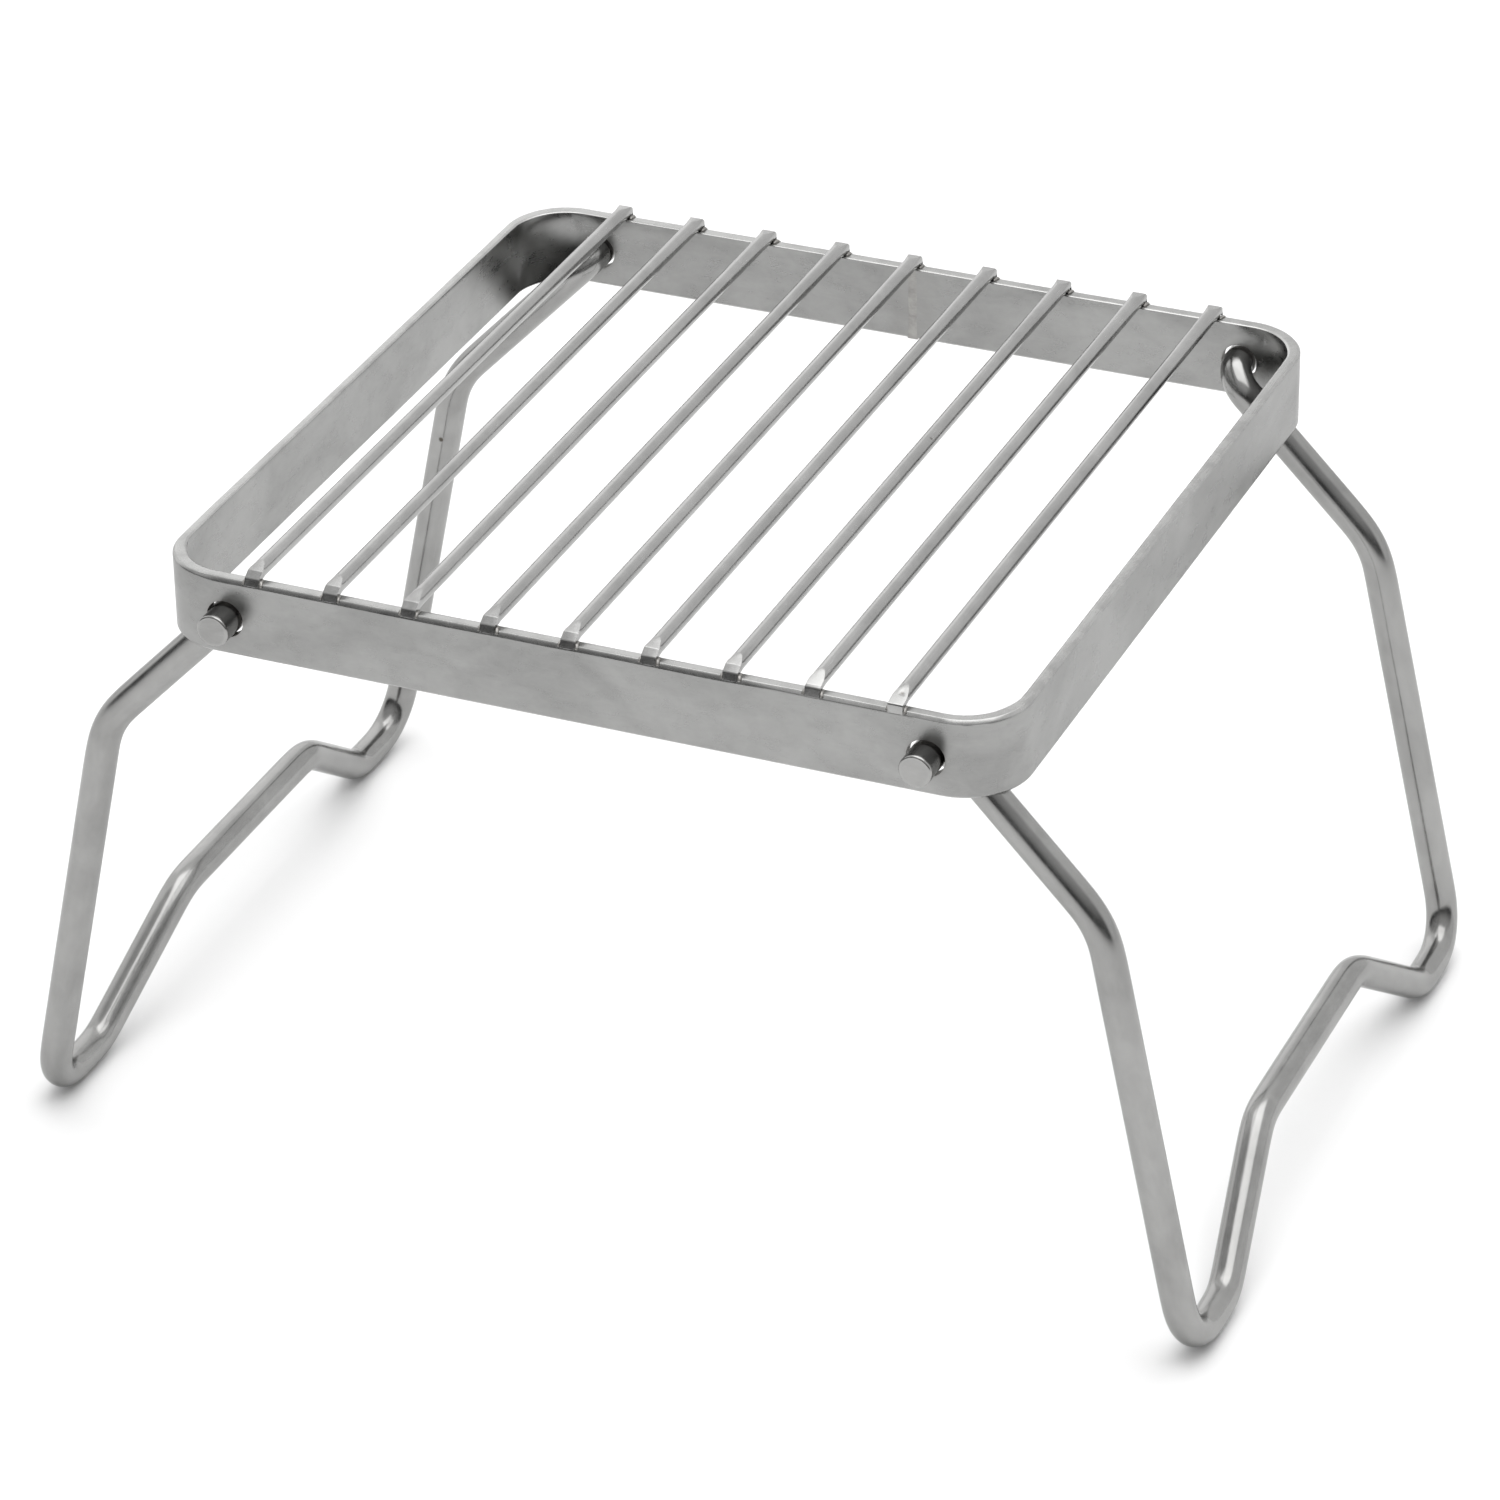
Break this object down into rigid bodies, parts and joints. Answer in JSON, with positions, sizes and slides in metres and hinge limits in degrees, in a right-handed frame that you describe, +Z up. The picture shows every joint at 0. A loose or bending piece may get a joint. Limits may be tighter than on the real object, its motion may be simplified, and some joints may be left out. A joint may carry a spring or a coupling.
{
  "type": "folding camp grill",
  "caption": "Small folding camp grill: a square steel hoop with a grate of round bars, standing on two bent-wire legs that fold in underneath.",
  "frame": {"origin": "on the ground, under the middle of the grate, with the legs open", "axes": "+X to the right, towards the right leg's feet; +Y to the rear, along the grate bars; +Z up"},
  "size_m": [0.23, 0.17, 0.126],
  "materials": {
    "band_steel": "satin, lightly mottled",
    "bar_steel": "drawn, satin",
    "leg_steel": "drawn and tumbled, satin",
    "weld_steel": "as welded, rough satin"
  },
  "bodies": {
    "frame": {"frame_band": "band_steel", "band_seam_weld": "weld_steel", "grate_bar_1": "bar_steel", "grate_bar_2": "bar_steel", "grate_bar_3": "bar_steel", "grate_bar_4": "bar_steel", "grate_bar_5": "bar_steel", "grate_bar_6": "bar_steel", "grate_bar_7": "bar_steel", "grate_bar_8": "bar_steel", "grate_bar_9": "bar_steel", "bar_welds_front": "weld_steel", "bar_welds_rear": "weld_steel"},
    "left_leg": {"left_leg": "leg_steel"},
    "right_leg": {"right_leg": "leg_steel"}
  },
  "joints": [
    {"name": "left_leg_fold", "type": "hinge", "parent": "frame", "child": "left_leg", "pos_m": [-0.0655, 0, 0.1155], "axis": [0, -1, 0], "range_deg": [0, 115]},
    {"name": "right_leg_fold", "type": "hinge", "parent": "frame", "child": "right_leg", "pos_m": [0.0655, 0, 0.1155], "axis": [0, 1, 0], "range_deg": [0, 103]}
  ]
}
